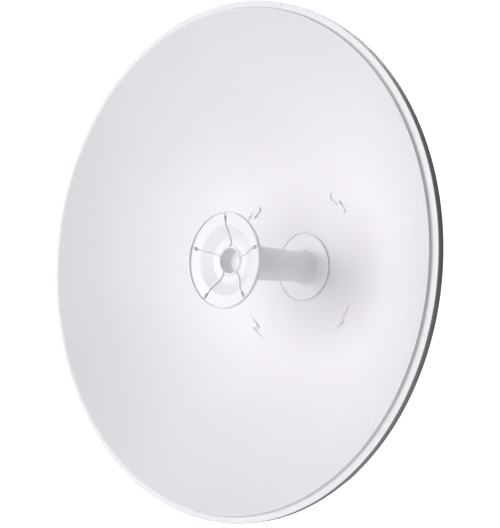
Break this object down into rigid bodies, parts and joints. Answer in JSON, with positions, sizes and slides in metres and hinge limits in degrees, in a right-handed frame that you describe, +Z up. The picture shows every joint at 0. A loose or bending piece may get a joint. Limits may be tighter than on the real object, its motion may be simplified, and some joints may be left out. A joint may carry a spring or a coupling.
{
  "type": "parabolic dish antenna",
  "caption": "Round parabolic dish antenna with a front feed tube, a ribbed sub-reflector disc and a rear steel bracket that clamps to an upright pole.",
  "frame": {"origin": "middle of the flat rear face of the pole bracket's web, which faces the pole", "axes": "-Y along the boresight out of the dish, +Y back towards the pole, +Z up, +X to the right seen from in front of the mount looking along +Y"},
  "size_m": [0.65, 0.3511, 0.65],
  "materials": {
    "white_powder_coat": "fine satin powder coat on pressed sheet steel",
    "white_feed_plastic": "smooth moulded white plastic",
    "zinc_plated_steel": "bright zinc plate on bent sheet steel",
    "zinc_fasteners": "zinc plated screws and nuts",
    "plated_brass": "bright plated brass"
  },
  "bodies": {
    "root": {"reflector_dish": "white_powder_coat", "back_plate": "white_powder_coat", "feed_base_flange": "white_feed_plastic", "feed_tube": "white_feed_plastic", "feed_neck": "white_feed_plastic", "sub_reflector": "white_feed_plastic", "sub_reflector_spider": "white_feed_plastic", "feed_lock_ring": "white_feed_plastic", "feed_rear_housing": "white_feed_plastic", "rf_connector_left": "plated_brass", "rf_connector_right": "plated_brass", "dish_bracket": "zinc_plated_steel", "pole_bracket": "zinc_plated_steel", "pole_clamp": "zinc_plated_steel", "bracket_bolt_1": "zinc_fasteners", "bracket_bolt_2": "zinc_fasteners", "bracket_bolt_3": "zinc_fasteners", "bracket_bolt_4": "zinc_fasteners", "bracket_nut_1": "zinc_fasteners", "bracket_nut_2": "zinc_fasteners", "bracket_nut_3": "zinc_fasteners", "bracket_nut_4": "zinc_fasteners", "clamp_bolt_1": "zinc_fasteners", "clamp_bolt_2": "zinc_fasteners", "clamp_bolt_3": "zinc_fasteners", "clamp_bolt_4": "zinc_fasteners", "clamp_nut_1": "zinc_fasteners", "clamp_nut_2": "zinc_fasteners", "clamp_nut_3": "zinc_fasteners", "clamp_nut_4": "zinc_fasteners", "pivot_bolt_left": "zinc_fasteners", "pivot_bolt_right": "zinc_fasteners", "pivot_nut_left": "zinc_fasteners", "pivot_nut_right": "zinc_fasteners", "tilt_lock_bolt_left": "zinc_fasteners", "tilt_lock_bolt_right": "zinc_fasteners", "tilt_lock_nut_left": "zinc_fasteners", "tilt_lock_nut_right": "zinc_fasteners"}
  },
  "joints": []
}
